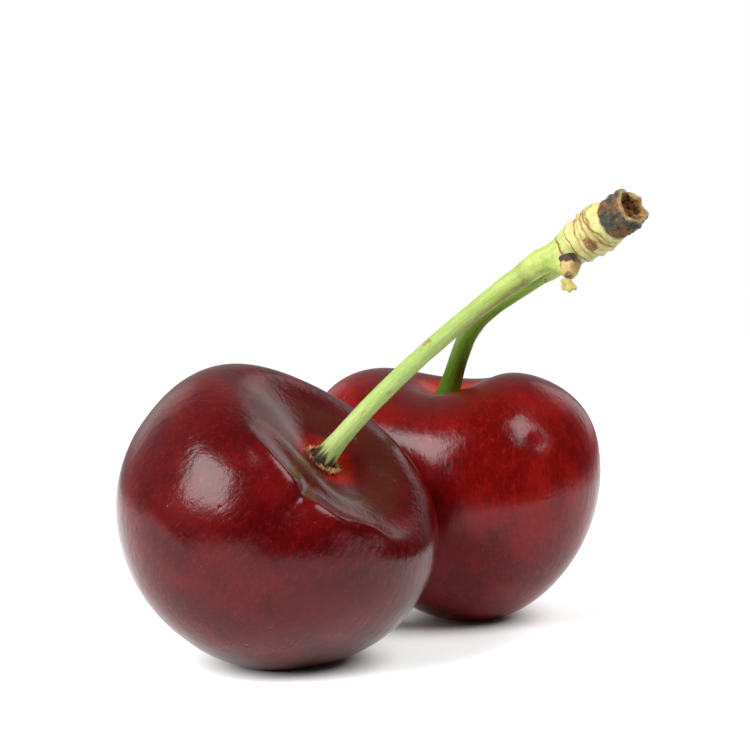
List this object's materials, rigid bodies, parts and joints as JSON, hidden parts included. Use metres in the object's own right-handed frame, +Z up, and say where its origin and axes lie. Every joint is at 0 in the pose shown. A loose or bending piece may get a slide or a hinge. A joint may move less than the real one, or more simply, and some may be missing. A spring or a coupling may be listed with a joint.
{
  "type": "pair of cherries on stalks",
  "caption": "Two ripe sweet cherries resting side by side, their stalks joined at a short ringed woody spur with a bark end.",
  "frame": {"origin": "middle of the bounding box of the whole pair, at floor level", "axes": "+X from the large cherry to the small one, +Z up, the spur points to -Y and up"},
  "size_m": [0.0524, 0.0392, 0.0413],
  "materials": {
    "large_cherry_skin": "glossy waxy fruit skin, dark red",
    "small_cherry_skin": "glossy waxy fruit skin, brighter red",
    "pale_green_stalk": "satin fresh stalk, pale green",
    "dark_green_stalk": "satin fresh stalk, darker green",
    "brown_collar": "dry ragged scar tissue, brown",
    "pale_spur": "pale yellow-green young wood with ring scars",
    "dark_bark": "rough broken bark, dark brown",
    "brown_bud": "dry bud scales, light brown",
    "dry_scale": "thin dry scale, yellow-brown"
  },
  "bodies": {
    "root": {"large_cherry": "large_cherry_skin", "small_cherry": "small_cherry_skin", "large_cherry_stalk": "pale_green_stalk", "small_cherry_stalk": "dark_green_stalk", "large_cherry_collar": "brown_collar", "spur": "pale_spur", "bark_cap": "dark_bark", "side_bud": "brown_bud", "bud_scale": "dry_scale"}
  },
  "joints": []
}
